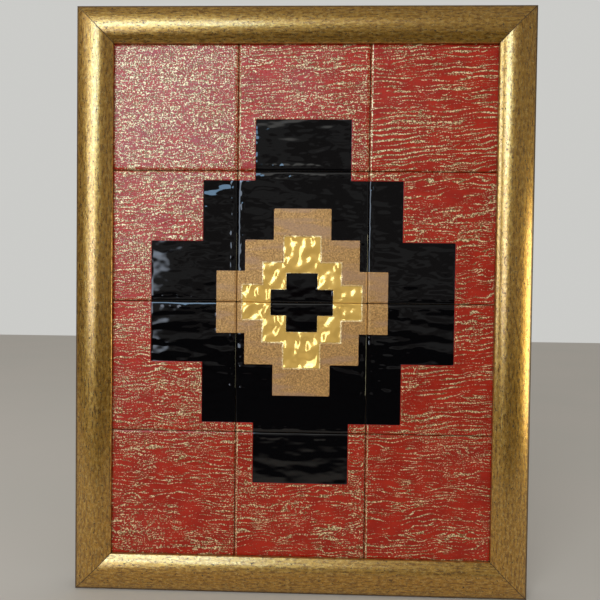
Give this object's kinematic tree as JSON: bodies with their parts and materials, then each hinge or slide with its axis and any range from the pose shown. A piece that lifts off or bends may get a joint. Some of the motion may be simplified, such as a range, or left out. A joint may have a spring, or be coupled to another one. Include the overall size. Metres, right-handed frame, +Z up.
{
  "type": "framed tile panel",
  "caption": "Upright wall panel of square glazed tiles in red, black and gold, set in a mitred antique-gold moulding with a flat back, made to hang.",
  "frame": {"origin": "middle of the flat back of the top rail, where it lies on the wall", "axes": "+X to the viewer's right, +Y into the wall, so the tiles face -Y, and +Z up along the panel's height"},
  "size_m": [0.522, 0.0288, 0.6732],
  "materials": {
    "gilt_moulding": "wooden moulding with worn antique-gold leaf, satin",
    "red_glaze": "red glaze with fine raised gold rivulets, semi-gloss",
    "black_glaze": "rippled black glaze, high gloss, with gold lustre",
    "board": "raw pressed board, matt"
  },
  "bodies": {
    "root": {"rail_top": "gilt_moulding", "rail_bottom": "gilt_moulding", "rail_left": "gilt_moulding", "rail_right": "gilt_moulding", "tile_r1c1": "red_glaze", "tile_r1c2": "red_glaze", "tile_r1c3": "red_glaze", "tile_r2c1": "red_glaze", "tile_r2c2": "black_glaze", "tile_r2c3": "red_glaze", "tile_r3c1": "red_glaze", "tile_r3c2": "black_glaze", "tile_r3c3": "red_glaze", "tile_r4c1": "red_glaze", "tile_r4c2": "red_glaze", "tile_r4c3": "red_glaze", "backing_board": "board"}
  },
  "joints": []
}
